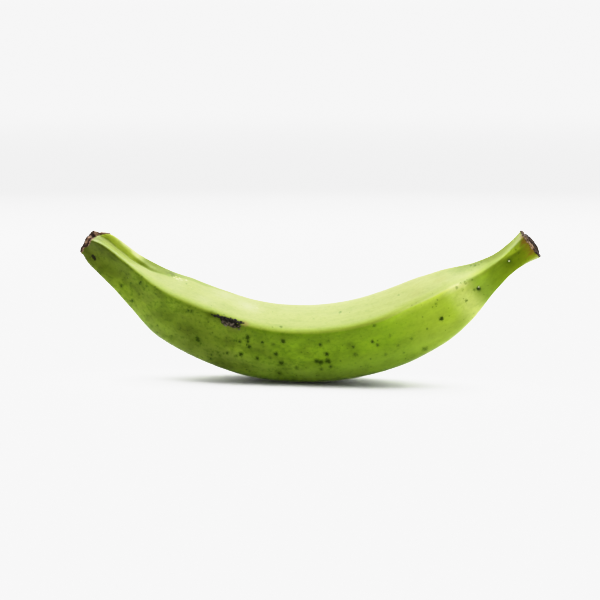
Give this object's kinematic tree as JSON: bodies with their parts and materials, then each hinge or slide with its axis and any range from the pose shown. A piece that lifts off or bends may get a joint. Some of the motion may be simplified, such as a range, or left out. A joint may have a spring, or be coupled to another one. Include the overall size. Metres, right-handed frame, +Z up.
{
  "type": "plantain",
  "caption": "Whole green plantain: a curved fruit with five soft ridges, a short cut stalk and a withered blossom end, lying on its belly with both ends raised.",
  "frame": {"origin": "on the surface that the fruit lies on, under the middle of its box", "axes": "+X from the blossom end to the cut stalk, -Y to the front, +Z up"},
  "size_m": [0.2602, 0.0426, 0.0861],
  "materials": {
    "peel": "smooth green peel with a soft waxy sheen, freckled with dark spots"
  },
  "bodies": {
    "root": {"plantain": "peel"}
  },
  "joints": []
}
